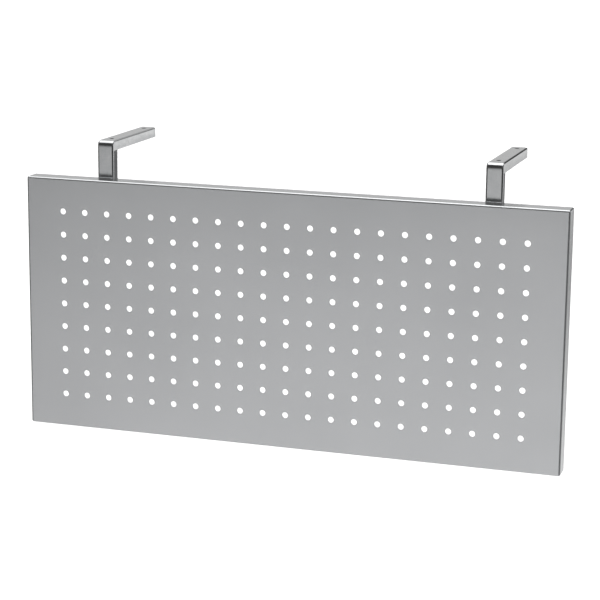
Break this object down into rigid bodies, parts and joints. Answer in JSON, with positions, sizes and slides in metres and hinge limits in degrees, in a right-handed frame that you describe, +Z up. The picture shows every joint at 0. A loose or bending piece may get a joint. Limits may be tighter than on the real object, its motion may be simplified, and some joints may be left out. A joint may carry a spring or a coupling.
{
  "type": "desk modesty panel",
  "caption": "Perforated sheet-metal panel that hangs under a desk top on L-shaped screw-on brackets.",
  "frame": {"origin": "on the plane of the desk's underside, which the tops of both bracket arms touch, in the middle of the four desk screw holes", "axes": "+X along the panel's width, +Y from the panel's face to its back, the way the arms run, +Z up towards the desk top"},
  "size_m": [0.816, 0.2003, 0.435],
  "materials": {
    "panel": "smooth silver-grey powder coat with a low metallic sheen",
    "bracket": "satin chrome over a fine casting, brightest along its rounded edges",
    "screw": "bright zinc plating",
    "washer": "bright zinc plating",
    "clinch_nut": "dull zinc plating"
  },
  "bodies": {
    "root": {"panel": "panel", "left_bracket": "bracket", "right_bracket": "bracket", "left_upper_screw": "screw", "left_lower_screw": "screw", "right_upper_screw": "screw", "right_lower_screw": "screw", "left_upper_washer": "washer", "left_lower_washer": "washer", "right_upper_washer": "washer", "right_lower_washer": "washer", "left_upper_clinch_nut": "clinch_nut", "left_lower_clinch_nut": "clinch_nut", "right_upper_clinch_nut": "clinch_nut", "right_lower_clinch_nut": "clinch_nut"}
  },
  "joints": []
}
